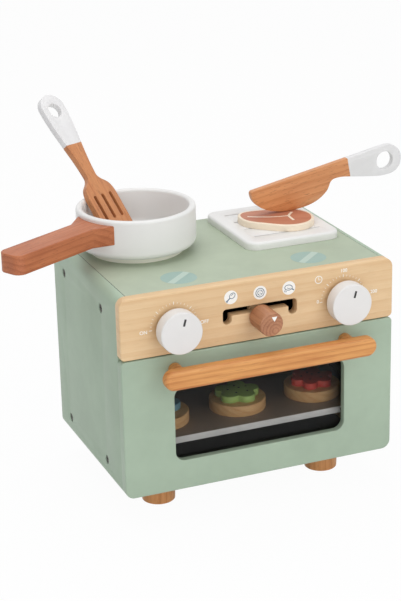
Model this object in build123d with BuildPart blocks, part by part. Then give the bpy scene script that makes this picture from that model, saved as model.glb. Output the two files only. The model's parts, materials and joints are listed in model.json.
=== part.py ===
# Toy oven: a painted wooden cabinet with a drop-down window door, two dials, a food selector,
# a hob with a pan and a grill, and play food.  Millimetres.
# X to the right, Y from the front to the back, Z up.  The origin is on the table under the
# middle of the cabinet.

import os
from math import cos, radians, sin, sqrt

from build123d import *

os.makedirs("parts", exist_ok=True)

# ---------------------------------------------------------------- driving dimensions

# Cabinet
cabinet_width = 250.0
cabinet_depth = 174.0  # face of the fascia to the back edges
corner_radius = 8.0  # rounding of the long outer edges and of the front boards
side_thickness = 8.5
top_thickness = 9.0
bottom_thickness = 9.0
back_thickness = 6.0
ceiling_thickness = 9.0
ceiling_drop = 5.1  # middle of the oven ceiling below the top of the door
fascia_thickness = 9.0
fascia_height = 53.6
inner_corner_radius = 4.0  # where the fascia and the door meet
face_round = 1.2  # rounding of the front edges of the fascia and the door
top_seam = 0.5  # small bevel along the seams of the top board
batten_width = 12.0
top_batten_height = 26.0
bottom_batten_height = 17.4
batten_front_inset = 8.0  # front ends of the battens behind the boards' front edges
batten_back_inset = 6.0  # back ends before the back board

# Feet
foot_height = 28.0
foot_top_radius = 15.4
foot_sole_radius = 14.6
foot_round = 1.0
foot_side_inset = 46.0  # middle of a foot in from the cabinet's side
front_foot_inset = 47.0  # and back from the fascia's face
back_foot_inset = 37.0

# Door
door_height = 124.6
split_gap = 0.8  # between the door and the fascia
door_back_gap = 0.4  # between the door and the cabinet's front edges
window_width = 158.0
window_sill = 26.6  # from the lower edge of the door to the window
window_header = 30.6  # from the window to the upper edge of the door
window_corner = 8.5
window_round = 0.6
pane_thickness = 2.4
pane_lap = 6.0
pane_clearance = 0.2
pane_screw_pitch = 37.0

# Door handle
handle_length = 193.0
handle_height = 17.0
handle_thickness = 11.0
handle_round = 3.0
handle_drop = 12.6  # middle of the bar below the upper edge of the door
standoff_length = 17.0
standoff_radius = 5.5
standoff_inset = 18.0  # in from the ends of the bar
handle_screw_bite = 6.0

# Door hinges
hinge_inset = 59.0  # middle of a hinge in from the cabinet's side
hinge_length = 24.0
knuckle_radius = 2.4
knuckle_gap = 0.3  # between neighbouring knuckles
knuckle_room = 0.4  # round the knuckles in the boards
hinge_pin_radius = 1.0
pin_clearance = 0.05
leaf_thickness = 1.0
leaf_room = 0.1
fixed_leaf_height = 8.4
door_leaf_height = 15.0
fixed_leaf_screw_level = 6.2
door_leaf_screw_level = 10.5
leaf_screw_x = 7.5

# Magnet catch
magnet_radius = 3.0
magnet_depth = 4.0
catch_radius = 4.0
catch_depth = 1.5

# Dials
dial_inset = 47.5  # middle of a dial in from the cabinet's side
dial_level = 23.5  # middle of the dials above the fascia's lower edge
dial_radius = 18.3
dial_depth = 14.0
dial_standoff = 4.0  # back of the dial in front of the fascia
dial_face_round = 1.2
dial_back_round = 2.5
spindle_radius = 5.0
spindle_bite = 6.0  # spindle inside the dial
collar_radius = 9.0
running_clearance = 0.08
spindle_end_play = 0.3
dial_washer_radius = 8.0
dial_washer_thickness = 2.5

# Selector and its slot in the fascia
slot_length = 68.0
slot_height = 6.4
slot_top_level = 31.2  # above the fascia's lower edge
notch_depth = 13.7  # from the top of the slot
notch_width = 8.0
notch_pitch = 30.0
selector_radius = 10.5
selector_depth = 23.0
selector_round = 1.2
selector_face_gap = 0.6
stem_radius = 3.0
stem_bite = 8.0
stem_seat_gap = 0.15
retainer_radius = 8.0
retainer_thickness = 3.0
retainer_gap = 0.4

# Tray and biscuits
tray_level = 43.0  # top of the tray above the cabinet's underside
tray_thickness = 6.0
tray_front_inset = 4.0
tray_back_gap = 9.0
tray_side_clearance = 1.0
runner_width = 8.0
runner_height = 8.0
biscuit_radius = 25.2
biscuit_thickness = 10.0
biscuit_side_inset = 43.5  # middle of an outer biscuit in from the side panel
biscuit_inset = 39.5  # middle of a biscuit behind the tray's front edge
topping_thickness = 6.0
topping_hollow_round = 2.0
topping_lobe_counts = (3, 5, 6)  # left, middle and right
topping_ring_radii = (9.0, 12.0, 13.5)  # of the ring that the lobes sit on
topping_lobe_radii = (9.5, 8.0, 6.2)
topping_middle_radii = (8.0, 12.5, 14.5)
soft_round = 1.0

# Hob
burner_side_inset = 60.7  # middle of the disc in from the cabinet's side
burner_back_inset = 53.3  # and forward of its back
burner_radius = 41.5
burner_thickness = 5.0
burner_round = 1.0
grill_side_inset = 60.0
grill_back_inset = 54.5
grill_width = 89.0
grill_depth = 104.0
grill_thickness = 7.0
grill_corner = 11.0
grill_round = 2.4
groove_count = 4
groove_pitch = 22.5
groove_length = 64.0
groove_width = 1.8
groove_depth = 1.0

# Pan
pan_radius = 52.5
pan_height = 35.5
pan_wall = 6.0
pan_floor = 5.0
rim_round = 2.5
pan_heel_round = 6.5
pan_bowl_round = 5.0
pan_handle_angle = 209.0  # degrees round Z from +X
pan_handle_offset = 3.3  # its middle line beside the middle of the pan
pan_handle_drop = 4.0  # top of the handle below the rim
pan_handle_height = 17.0
pan_handle_width = 24.8
pan_handle_reach = 154.8  # from the middle of the pan
yoke_width = 49.4
yoke_reach = 66.5  # where the yoke narrows to the bar
pan_handle_round = 1.0
pan_handle_end_round = 8.0
glue_line = 0.05
pan_dowel_radius = 2.5
pan_dowel_x = 8.0
pan_dowel_start = 47.5
pan_dowel_end = 63.5

# Spatula, leaning on the pan's rim
spatula_yaw = 25.5
spatula_lean = 50.5
spatula_offset = -2.8
spatula_thickness = 6.0
spatula_length = 141.5
blade_half_width = 16.3
neck_half_width = 5.3
neck_level = 57.0
shoulder_level = 35.0
shoulder_mid = (12.6, 48.2)  # a point on the curve from the blade to the neck
grip_half_width = 12.8
spatula_hole_radius = 6.8
spatula_hole_inset = 16.0
blade_slot_width = 3.2
blade_slot_length = 25.0
blade_slot_pitch = 9.3
blade_slot_count = 3
blade_slot_start = 13.5
blade_corner = 3.0
rest_gap = 0.3

# Steak, as (x, y) on the grill
steak_thickness = 6.0
steak_outline = (
    (35.5, 38.0),
    (43.0, 51.5),
    (63.0, 52.0),
    (90.0, 42.5),
    (99.5, 25.0),
    (88.0, -0.5),
    (70.0, -3.5),
    (48.5, 12.0),
)

# Knife, standing on the steak: points are (along, up) from the lowest part of the belly
knife_tilt = 9.8
knife_belly = (
    (-20.2, 22.4),
    (-18.8, 15.0),
    (-11.6, 6.4),
    (2.6, -0.8),
    (22.6, -5.0),
    (43.6, -3.0),
    (57.1, 9.4),
)
knife_heel = ((59.7, 12.0), (63.4, 12.8))
knife_underside = ((80.1, 9.4), (100.0, 3.6))
knife_spine_end = (-16.9, 25.0)
knife_tip = (-19.4, 24.2)
knife_thickness = 6.0
knife_face_y = 35.5
knife_belly_x = 70.5
knife_grip_radius = 13.9
knife_grip_x = 118.2
knife_grip_level = 14.7
knife_hole_radius = 8.4
knife_hole_x = 115.0
knife_belly_drop = 1.3  # lowest point of the belly below the outline's zero

# Fasteners
side_screw_head_radius = 3.7
side_screw_head_height = 2.2
side_screw_radius = 1.75
side_screw_length = 19.0
side_screw_hole_radius = 4.3
side_screw_sink = 3.0  # depth of the hole round the head
side_screw_front_inset = 38.6  # behind the boards' front edges
side_screw_back_inset = 28.2
pilot_clearance = 0.05
cross_width = 0.9
cross_span = 3.0  # length of the cross, in shank radii
wood_screw_head_radius = 3.2
wood_screw_head_height = 2.0
wood_screw_radius = 1.75
foot_screw_length = 24.0
small_screw_head_radius = 1.8
small_screw_head_height = 0.8
small_screw_radius = 0.9
small_screw_length = 6.0
pane_screw_head_radius = 2.2
pane_screw_head_height = 1.2
pane_screw_length = 7.0
spindle_screw_radius = 1.5
spindle_screw_length = 14.0
dowel_radius = 2.5
dowel_in_board = 10.0
dowel_in_fascia = 6.0
top_dowel_x = 60.0
side_dowel_level = 21.6  # above the fascia's lower edge

# ---------------------------------------------------------------- levels and planes worked out

front_face = -cabinet_depth / 2
back_face = cabinet_depth / 2
board_front = front_face + fascia_thickness
door_thickness = fascia_thickness - door_back_gap
door_back = front_face + door_thickness
inner_back = back_face - back_thickness
half_width = cabinet_width / 2
inner_half_width = half_width - side_thickness

body_bottom = foot_height
floor_level = body_bottom + bottom_thickness
door_top = body_bottom + door_height
fascia_bottom = door_top + split_gap
body_top = fascia_bottom + fascia_height
body_height = body_top - body_bottom
roof_level = body_top - top_thickness
ceiling_mid = door_top - ceiling_drop

hinge_x = half_width - hinge_inset
hinge_y = (door_back + board_front) / 2
hinge_z = body_bottom

dial_x = half_width - dial_inset
dial_z = fascia_bottom + dial_level
dial_back = front_face - dial_standoff
spindle_end = board_front + spindle_end_play
slot_top = fascia_bottom + slot_top_level
slot_z = slot_top - slot_height / 2
stem_z = slot_top - notch_depth + stem_radius + stem_seat_gap
selector_back = front_face - selector_face_gap
stem_end = board_front + retainer_gap

handle_z = door_top - handle_drop
standoff_x = handle_length / 2 - standoff_inset
handle_back = front_face - standoff_length
window_height = door_height - window_sill - window_header
window_z = body_bottom + window_sill + window_height / 2

tray_top = body_bottom + tray_level
tray_front = board_front + tray_front_inset
tray_back = inner_back - tray_back_gap
biscuit_pitch = inner_half_width - biscuit_side_inset
biscuit_y = tray_front + biscuit_inset

burner_x = burner_side_inset - half_width
burner_y = back_face - burner_back_inset
burner_top = body_top + burner_thickness
pan_top = burner_top + pan_height
grill_x = half_width - grill_side_inset
grill_y = back_face - grill_back_inset
grill_top = body_top + grill_thickness
steak_top = grill_top + steak_thickness

INTO = (Align.CENTER, Align.CENTER, Align.MAX)  # from a surface into the material


# ---------------------------------------------------------------- helpers


def facing_front(y):
    """A plane at y that faces the front: sketch x is X, sketch y is Z."""
    return Plane(origin=(0, y, 0), x_dir=(1, 0, 0), z_dir=(0, -1, 0))


def facing_back(y):
    """A plane at y that faces the back: sketch x is -X, sketch y is Z."""
    return Plane(origin=(0, y, 0), x_dir=(-1, 0, 0), z_dir=(0, 1, 0))


def facing_side(x, side):
    """A plane at x that faces out on that side: sketch x is side * Y, sketch y is Z."""
    return Plane(origin=(x, 0, 0), x_dir=(0, side, 0), z_dir=(side, 0, 0))


def places(plane, points):
    """Locations of the points on a plane, with Z out of it."""
    return [plane.location * Pos(x, y, 0) for x, y in points]


def save(piece, name):
    piece.part.label = name
    export_step(piece.part, f"parts/{name}.step")


def screw_group(name, spots, head_radius, head_height, shank_radius, length):
    """Cross-head screws, each head's top on its spot and its shank going in."""
    with BuildPart() as screws:
        with Locations(*spots):
            Cylinder(head_radius, head_height, align=INTO)
            Cylinder(shank_radius, length, align=INTO)
            for turn in (0, 90):
                Box(cross_span * shank_radius, cross_width, head_height / 2, rotation=(0, 0, turn),
                    align=INTO, mode=Mode.SUBTRACT)
    save(screws, name)


def drill(spots, radius, depth):
    """Blind holes from the spots into the piece under construction."""
    with Locations(*spots):
        Cylinder(radius, depth, align=INTO, mode=Mode.SUBTRACT)


def board(x_low, x_high, y_low, y_high, z_low, z_high):
    """A plain board between these faces, in the piece under construction."""
    with Locations(((x_low + x_high) / 2, (y_low + y_high) / 2, (z_low + z_high) / 2)):
        Box(x_high - x_low, y_high - y_low, z_high - z_low)


# ---------------------------------------------------------------- where the fasteners sit

top_batten_bottom = roof_level - top_batten_height
bottom_batten_top = floor_level + bottom_batten_height
top_batten_mid = (top_batten_bottom + roof_level) / 2
bottom_batten_mid = (floor_level + bottom_batten_top) / 2
side_screw_ys = (board_front + side_screw_front_inset, back_face - side_screw_back_inset)
side_screw_points = [(y, z) for y in side_screw_ys for z in (bottom_batten_mid, top_batten_mid)]
dowel_points = [(-top_dowel_x, body_top - top_thickness / 2), (top_dowel_x, body_top - top_thickness / 2)]
dowel_points += [
    (side * (half_width - side_thickness / 2), fascia_bottom + side_dowel_level) for side in (-1, 1)
]
foot_x = half_width - foot_side_inset
front_foot_y = front_face + front_foot_inset
back_foot_y = back_face - back_foot_inset
feet = {
    "front_left": (-foot_x, front_foot_y),
    "front_right": (foot_x, front_foot_y),
    "back_left": (-foot_x, back_foot_y),
    "back_right": (foot_x, back_foot_y),
}
handle_points = [(-standoff_x, handle_z), (standoff_x, handle_z)]
pane_screw_points = [
    (side * (window_width / 2 + pane_lap / 2), window_z + step * pane_screw_pitch / 2)
    for side in (-1, 1)
    for step in (-1, 1)
]


def leaf_points(level):
    return [
        (side * hinge_x + step * leaf_screw_x, hinge_z + level) for side in (-1, 1) for step in (-1, 1)
    ]


def side_screw_spots(side, depth):
    """Places of one side's screws, at this depth below the outer face."""
    plane = facing_side(side * (half_width - depth), side)
    return places(plane, [(side * y, z) for y, z in side_screw_points])


# ---------------------------------------------------------------- cabinet boards

for word, side in (("left", -1), ("right", 1)):
    with BuildPart() as side_panel:
        with BuildSketch(facing_front(back_face)) as side_outline:
            with Locations((side * (half_width - side_thickness / 2), body_bottom + body_height / 2)):
                Rectangle(side_thickness, body_height)
            outer = side_outline.vertices().group_by(Axis.X)[0 if side < 0 else -1]
            fillet(outer, corner_radius)
        extrude(amount=back_face - board_front)
        drill(side_screw_spots(side, 0), side_screw_hole_radius, side_screw_sink)
        drill(side_screw_spots(side, 0), side_screw_radius + pilot_clearance, side_thickness)
        drill(places(facing_front(board_front), dowel_points[2:]), dowel_radius, dowel_in_board)
    save(side_panel, f"{word}_side_panel")

    with BuildPart() as battens:
        outer_x = side * inner_half_width
        inner_x = side * (inner_half_width - batten_width)
        for low, high in ((floor_level, bottom_batten_top), (top_batten_bottom, roof_level)):
            board(min(outer_x, inner_x), max(outer_x, inner_x), board_front + batten_front_inset,
                  inner_back - batten_back_inset, low, high)
        drill(side_screw_spots(side, side_screw_sink), side_screw_radius + pilot_clearance,
              side_screw_length)
    save(battens, f"{word}_battens")

    screw_group(f"{word}_side_screws", side_screw_spots(side, side_screw_sink - side_screw_head_height),
                side_screw_head_radius, side_screw_head_height, side_screw_radius, side_screw_length)

with BuildPart() as top_panel:
    board(-inner_half_width, inner_half_width, board_front, back_face, roof_level, body_top)
    seam_edges = top_panel.faces().sort_by(Axis.Z)[-1].edges().filter_by(Axis.Y)
    chamfer(seam_edges, top_seam)
    drill(places(facing_front(board_front), dowel_points[:2]), dowel_radius, dowel_in_board)
save(top_panel, "top_panel")

with BuildPart() as bottom_panel:
    board(-inner_half_width, inner_half_width, board_front, back_face, body_bottom, floor_level)
    with Locations((-hinge_x, hinge_y, hinge_z), (hinge_x, hinge_y, hinge_z)):
        Cylinder(knuckle_radius + knuckle_room, hinge_length + 2 * knuckle_room, rotation=(0, 90, 0),
                 mode=Mode.SUBTRACT)
    for side in (-1, 1):
        with Locations((side * hinge_x, board_front, hinge_z)):
            Box(hinge_length + 2 * leaf_room, 2 * leaf_thickness, 2 * (fixed_leaf_height + leaf_room),
                mode=Mode.SUBTRACT)
    drill(places(facing_front(board_front), leaf_points(fixed_leaf_screw_level)),
          small_screw_radius + pilot_clearance, small_screw_length)
    drill(places(Plane.XY.offset(floor_level), feet.values()), wood_screw_head_radius + pilot_clearance,
          wood_screw_head_height)
    drill(places(Plane.XY.offset(floor_level), feet.values()), wood_screw_radius + pilot_clearance,
          bottom_thickness)
save(bottom_panel, "bottom_panel")

with BuildPart() as back_panel:
    board(-inner_half_width, inner_half_width, inner_back, back_face, floor_level, roof_level)
save(back_panel, "back_panel")

with BuildPart() as oven_ceiling:
    board(-inner_half_width, inner_half_width, board_front, inner_back,
          ceiling_mid - ceiling_thickness / 2, ceiling_mid + ceiling_thickness / 2)
    drill(places(facing_front(board_front), [(0, ceiling_mid)]), magnet_radius, magnet_depth)
save(oven_ceiling, "oven_ceiling")

with BuildPart() as door_magnet:
    with Locations(*places(facing_front(board_front), [(0, ceiling_mid)])):
        Cylinder(magnet_radius, magnet_depth, align=INTO)
save(door_magnet, "door_magnet")

with BuildPart() as fascia:
    with BuildSketch(facing_front(board_front)) as fascia_outline:
        with Locations((0, fascia_bottom + fascia_height / 2)):
            Rectangle(cabinet_width, fascia_height)
        fillet(fascia_outline.vertices().group_by(Axis.Y)[-1], corner_radius)
        fillet(fascia_outline.vertices().group_by(Axis.Y)[0], inner_corner_radius)
    extrude(amount=fascia_thickness)
    fillet(fascia.faces().sort_by(Axis.Y)[0].edges(), face_round)
    with BuildSketch(facing_front(board_front)) as selector_slot:
        with Locations((0, slot_z)):
            SlotOverall(slot_length, slot_height)
        with Locations(*[(step * notch_pitch, slot_top - notch_depth / 2) for step in (-1, 0, 1)]):
            SlotOverall(notch_depth, notch_width, rotation=90)
    extrude(amount=fascia_thickness, mode=Mode.SUBTRACT)
    drill(places(facing_front(front_face), [(-dial_x, dial_z), (dial_x, dial_z)]),
          spindle_radius + running_clearance, fascia_thickness)
    drill(places(facing_back(board_front), [(-x, z) for x, z in dowel_points]), dowel_radius,
          dowel_in_fascia)
save(fascia, "fascia")

with BuildPart() as fascia_dowels:
    with Locations(*places(facing_front(board_front - dowel_in_fascia), dowel_points)):
        Cylinder(dowel_radius, dowel_in_fascia + dowel_in_board, align=INTO)
save(fascia_dowels, "fascia_dowels")

for word, (x, y) in feet.items():
    with BuildPart() as foot:
        with BuildSketch(Plane.XY):
            with Locations((x, y)):
                Circle(foot_sole_radius)
        with BuildSketch(Plane.XY.offset(foot_height)):
            with Locations((x, y)):
                Circle(foot_top_radius)
        loft()
        fillet(foot.faces().sort_by(Axis.Z)[0].edges(), foot_round)
        drill(places(Plane.XY.offset(foot_height), [(x, y)]), wood_screw_radius + pilot_clearance,
              foot_screw_length - bottom_thickness)
    save(foot, f"{word}_foot")

screw_group("foot_screws", places(Plane.XY.offset(floor_level), feet.values()), wood_screw_head_radius,
            wood_screw_head_height, wood_screw_radius, foot_screw_length)

# ---------------------------------------------------------------- tray

tray_half_width = inner_half_width - tray_side_clearance
tray_bottom = tray_top - tray_thickness
with BuildPart() as tray:
    board(-tray_half_width, tray_half_width, tray_front, tray_back, tray_bottom, tray_top)
    fillet(tray.edges().filter_by(Axis.Z), soft_round)
save(tray, "tray")

with BuildPart() as tray_runners:
    for side in (-1, 1):
        outer_x = side * inner_half_width
        inner_x = side * (inner_half_width - runner_width)
        board(min(outer_x, inner_x), max(outer_x, inner_x), board_front + batten_front_inset, inner_back,
              tray_bottom - runner_height, tray_bottom)
save(tray_runners, "tray_runners")

# ---------------------------------------------------------------- door

with BuildPart() as door_panel:
    with BuildSketch(facing_front(door_back)) as door_outline:
        with Locations((0, body_bottom + door_height / 2)):
            Rectangle(cabinet_width, door_height)
        fillet(door_outline.vertices().group_by(Axis.Y)[0], corner_radius)
        fillet(door_outline.vertices().group_by(Axis.Y)[-1], inner_corner_radius)
    extrude(amount=door_thickness)
    fillet(door_panel.faces().sort_by(Axis.Y)[0].edges(), face_round)
    with BuildSketch(facing_front(door_back)):
        with Locations((0, window_z)):
            RectangleRounded(window_width, window_height, window_corner)
    extrude(amount=door_thickness, mode=Mode.SUBTRACT)
    with BuildSketch(facing_front(door_back)):
        with Locations((0, window_z)):
            RectangleRounded(window_width + 2 * pane_lap, window_height + 2 * pane_lap,
                             window_corner + pane_lap)
    extrude(amount=pane_thickness, mode=Mode.SUBTRACT)
    fillet(door_panel.faces().sort_by(Axis.Y)[0].inner_wires()[0].edges(), window_round)
    with Locations((-hinge_x, hinge_y, hinge_z), (hinge_x, hinge_y, hinge_z)):
        Cylinder(knuckle_radius + knuckle_room, hinge_length + 2 * knuckle_room, rotation=(0, 90, 0),
                 mode=Mode.SUBTRACT)
    for side in (-1, 1):
        with Locations((side * hinge_x, door_back, hinge_z)):
            Box(hinge_length + 2 * leaf_room, 2 * leaf_thickness, 2 * (door_leaf_height + leaf_room),
                mode=Mode.SUBTRACT)
    drill(places(facing_back(door_back), [(-x, z) for x, z in leaf_points(door_leaf_screw_level)]),
          small_screw_radius + pilot_clearance, small_screw_length)
    drill(places(facing_back(door_back), handle_points), wood_screw_head_radius + pilot_clearance,
          wood_screw_head_height)
    drill(places(facing_back(door_back), handle_points), wood_screw_radius + pilot_clearance, door_thickness)
    drill(places(facing_back(door_back - pane_thickness), pane_screw_points),
          small_screw_radius + pilot_clearance, pane_screw_length - pane_thickness)
    drill(places(facing_back(door_back), [(0, ceiling_mid)]), catch_radius, catch_depth)
save(door_panel, "door_panel")

with BuildPart() as window_pane:
    with BuildSketch(facing_front(door_back)):
        with Locations((0, window_z)):
            RectangleRounded(window_width + 2 * (pane_lap - pane_clearance),
                             window_height + 2 * (pane_lap - pane_clearance),
                             window_corner + pane_lap - pane_clearance)
    extrude(amount=pane_thickness)
    drill(places(facing_back(door_back), pane_screw_points), small_screw_radius + pilot_clearance,
          pane_thickness)
save(window_pane, "window_pane")

screw_group("pane_screws", places(facing_back(door_back + pane_screw_head_height), pane_screw_points),
            pane_screw_head_radius, pane_screw_head_height, small_screw_radius,
            pane_screw_head_height + pane_screw_length - pilot_clearance)

with BuildPart() as door_handle:
    with BuildSketch(facing_front(handle_back)):
        with Locations((0, handle_z)):
            SlotOverall(handle_length, handle_height)
    extrude(amount=handle_thickness)
    fillet(door_handle.faces().sort_by(Axis.Y)[0].edges(), handle_round)
    fillet(door_handle.faces().sort_by(Axis.Y)[-1].edges(), handle_round)
    drill(places(facing_back(handle_back), handle_points), wood_screw_radius + pilot_clearance,
          handle_screw_bite + pilot_clearance)
save(door_handle, "door_handle")

with BuildPart() as handle_standoffs:
    with Locations(*places(facing_back(front_face), handle_points)):
        Cylinder(standoff_radius, standoff_length, align=INTO)
    drill(places(facing_back(front_face), handle_points), wood_screw_radius + pilot_clearance,
          standoff_length)
save(handle_standoffs, "handle_standoffs")

screw_group("handle_screws", places(facing_back(door_back), handle_points), wood_screw_head_radius,
            wood_screw_head_height, wood_screw_radius, door_thickness + standoff_length + handle_screw_bite)

with BuildPart() as door_catch_disc:
    with Locations(*places(facing_back(door_back), [(0, ceiling_mid)])):
        Cylinder(catch_radius, catch_depth, align=INTO)
save(door_catch_disc, "door_catch_disc")

# ---------------------------------------------------------------- door hinges

middle_knuckle = hinge_length / 3 - knuckle_gap / 2
outer_knuckle = hinge_length / 3 - knuckle_gap / 4
outer_knuckle_x = hinge_length / 2 - outer_knuckle / 2

for word, side in (("left", -1), ("right", 1)):
    x = side * hinge_x
    outer_places = [(x + step * outer_knuckle_x, hinge_y, hinge_z) for step in (-1, 1)]
    with BuildPart() as fixed_leaf:
        board(x - hinge_length / 2, x + hinge_length / 2, board_front, board_front + leaf_thickness, hinge_z,
              hinge_z + fixed_leaf_height)
        with Locations((x, hinge_y, hinge_z)):
            Cylinder(knuckle_radius + knuckle_room, middle_knuckle + 2 * knuckle_gap, rotation=(0, 90, 0),
                     mode=Mode.SUBTRACT)
        with Locations(*outer_places):
            Cylinder(knuckle_radius, outer_knuckle - knuckle_gap, rotation=(0, 90, 0))
        with Locations((x, hinge_y, hinge_z)):
            Cylinder(hinge_pin_radius + pin_clearance, hinge_length, rotation=(0, 90, 0), mode=Mode.SUBTRACT)
        holes = [(px, pz) for px, pz in leaf_points(fixed_leaf_screw_level) if px * side > 0]
        drill(places(facing_front(board_front), holes), small_screw_head_radius + pilot_clearance,
              small_screw_head_height)
        drill(places(facing_front(board_front), holes), small_screw_radius + pilot_clearance, leaf_thickness)
    save(fixed_leaf, f"{word}_hinge_fixed_leaf")

    with BuildPart() as door_leaf:
        board(x - hinge_length / 2, x + hinge_length / 2, door_back - leaf_thickness, door_back, hinge_z,
              hinge_z + door_leaf_height)
        with Locations(*outer_places):
            Cylinder(knuckle_radius + knuckle_room, outer_knuckle + knuckle_gap, rotation=(0, 90, 0),
                     mode=Mode.SUBTRACT)
        with Locations((x, hinge_y, hinge_z)):
            Cylinder(knuckle_radius, middle_knuckle, rotation=(0, 90, 0))
            Cylinder(hinge_pin_radius + pin_clearance, hinge_length, rotation=(0, 90, 0), mode=Mode.SUBTRACT)
        holes = [(-px, pz) for px, pz in leaf_points(door_leaf_screw_level) if px * side > 0]
        drill(places(facing_back(door_back), holes), small_screw_head_radius + pilot_clearance,
              small_screw_head_height)
        drill(places(facing_back(door_back), holes), small_screw_radius + pilot_clearance, leaf_thickness)
    save(door_leaf, f"{word}_hinge_door_leaf")

with BuildPart() as hinge_pins:
    with Locations((-hinge_x, hinge_y, hinge_z), (hinge_x, hinge_y, hinge_z)):
        Cylinder(hinge_pin_radius, hinge_length, rotation=(0, 90, 0))
save(hinge_pins, "hinge_pins")

screw_group("hinge_cabinet_screws", places(facing_front(board_front), leaf_points(fixed_leaf_screw_level)),
            small_screw_head_radius, small_screw_head_height, small_screw_radius, small_screw_length)
screw_group("hinge_door_screws",
            places(facing_back(door_back), [(-x, z) for x, z in leaf_points(door_leaf_screw_level)]),
            small_screw_head_radius, small_screw_head_height, small_screw_radius, small_screw_length)

# ---------------------------------------------------------------- dials

for word, x in (("left", -dial_x), ("right", dial_x)):
    with BuildPart() as dial:
        with BuildSketch(facing_front(dial_back)):
            with Locations((x, dial_z)):
                Circle(dial_radius)
        extrude(amount=dial_depth)
        fillet(dial.faces().sort_by(Axis.Y)[0].edges(), dial_face_round)
        fillet(dial.faces().sort_by(Axis.Y)[-1].edges(), dial_back_round)
        drill(places(facing_back(dial_back), [(-x, dial_z)]), spindle_radius + glue_line, spindle_bite)
    save(dial, f"{word}_dial")

    with BuildPart() as spindle:
        with Locations(*places(facing_back(spindle_end), [(-x, dial_z)])):
            Cylinder(spindle_radius, spindle_end - dial_back + spindle_bite, align=INTO)
        with Locations(*places(facing_back(front_face - running_clearance), [(-x, dial_z)])):
            Cylinder(collar_radius, dial_standoff - running_clearance, align=INTO)
        drill(places(facing_back(spindle_end), [(-x, dial_z)]), spindle_screw_radius + pilot_clearance,
              spindle_screw_length)
    save(spindle, f"{word}_dial_spindle")

    screw_group(f"{word}_dial_screw",
                places(facing_back(spindle_end + dial_washer_thickness), [(-x, dial_z)]),
                dial_washer_radius, dial_washer_thickness, spindle_screw_radius,
                dial_washer_thickness + spindle_screw_length - pilot_clearance)

# ---------------------------------------------------------------- selector

with BuildPart() as selector_knob:
    with BuildSketch(facing_front(selector_back)):
        with Locations((0, stem_z)):
            Circle(selector_radius)
    extrude(amount=selector_depth)
    fillet(selector_knob.faces().sort_by(Axis.Y)[0].edges(), selector_round)
    fillet(selector_knob.faces().sort_by(Axis.Y)[-1].edges(), selector_round)
    drill(places(facing_back(selector_back), [(0, stem_z)]), stem_radius + glue_line, stem_bite)
save(selector_knob, "selector_knob")

with BuildPart() as selector_stem:
    with Locations(*places(facing_back(stem_end), [(0, stem_z)])):
        Cylinder(stem_radius, stem_end - selector_back + stem_bite, align=INTO)
    drill(places(facing_back(stem_end), [(0, stem_z)]), spindle_screw_radius + pilot_clearance,
          spindle_screw_length - retainer_thickness)
save(selector_stem, "selector_stem")

with BuildPart() as selector_retainer:
    with Locations(*places(facing_front(stem_end), [(0, stem_z)])):
        Cylinder(retainer_radius, retainer_thickness, align=INTO)
    drill(places(facing_front(stem_end), [(0, stem_z)]), spindle_screw_radius + pilot_clearance,
          retainer_thickness)
save(selector_retainer, "selector_retainer")

screw_group("selector_screw",
            places(facing_back(stem_end + retainer_thickness + wood_screw_head_height), [(0, stem_z)]),
            wood_screw_head_radius, wood_screw_head_height, spindle_screw_radius,
            wood_screw_head_height + spindle_screw_length - pilot_clearance)

# ---------------------------------------------------------------- hob

with BuildPart() as burner_disc:
    with BuildSketch(Plane.XY.offset(body_top)):
        with Locations((burner_x, burner_y)):
            Circle(burner_radius)
    extrude(amount=burner_thickness)
    fillet(burner_disc.faces().sort_by(Axis.Z)[-1].edges(), burner_round)
save(burner_disc, "burner_disc")

with BuildPart() as grill_plate:
    with BuildSketch(Plane.XY.offset(body_top)):
        with Locations((grill_x, grill_y)):
            RectangleRounded(grill_width, grill_depth, grill_corner)
    extrude(amount=grill_thickness)
    fillet(grill_plate.faces().sort_by(Axis.Z)[-1].edges(), grill_round)
    with BuildSketch(Plane.XY.offset(grill_top)):
        with Locations((grill_x, grill_y)):
            with GridLocations(0, groove_pitch, 1, groove_count):
                SlotOverall(groove_length, groove_width)
    extrude(amount=-groove_depth, mode=Mode.SUBTRACT)
save(grill_plate, "grill_plate")

# ---------------------------------------------------------------- pan

handle_direction = radians(pan_handle_angle)
yoke_plane = Plane(
    origin=(
        burner_x + pan_handle_offset * sin(handle_direction),
        burner_y - pan_handle_offset * cos(handle_direction),
        pan_top - pan_handle_drop - pan_handle_height,
    ),
    x_dir=(cos(handle_direction), sin(handle_direction), 0),
    z_dir=(0, 0, 1),
)
dowel_plane = Plane(
    origin=yoke_plane.from_local_coords((pan_dowel_start, 0, pan_handle_height / 2)),
    x_dir=yoke_plane.y_dir,
    z_dir=-yoke_plane.x_dir,
)
pan_dowel_spots = places(dowel_plane, [(-pan_dowel_x, 0), (pan_dowel_x, 0)])

with BuildPart() as pan_body:
    with BuildSketch(Plane.XY.offset(burner_top)):
        with Locations((burner_x, burner_y)):
            Circle(pan_radius)
    extrude(amount=pan_height)
    fillet(pan_body.faces().sort_by(Axis.Z)[0].edges(), pan_heel_round)
    with BuildSketch(Plane.XY.offset(burner_top + pan_floor)):
        with Locations((burner_x, burner_y)):
            Circle(pan_radius - pan_wall)
    extrude(amount=pan_height, mode=Mode.SUBTRACT)
    fillet(pan_body.faces().sort_by(Axis.Z)[-1].edges(), rim_round)
    bowl_bottom = pan_body.faces().filter_by(Plane.XY).sort_by(Axis.Z)[1]
    fillet(bowl_bottom.edges(), pan_bowl_round)
    drill(pan_dowel_spots, pan_dowel_radius, pan_dowel_end - pan_dowel_start)
save(pan_body, "pan_body")

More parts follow.
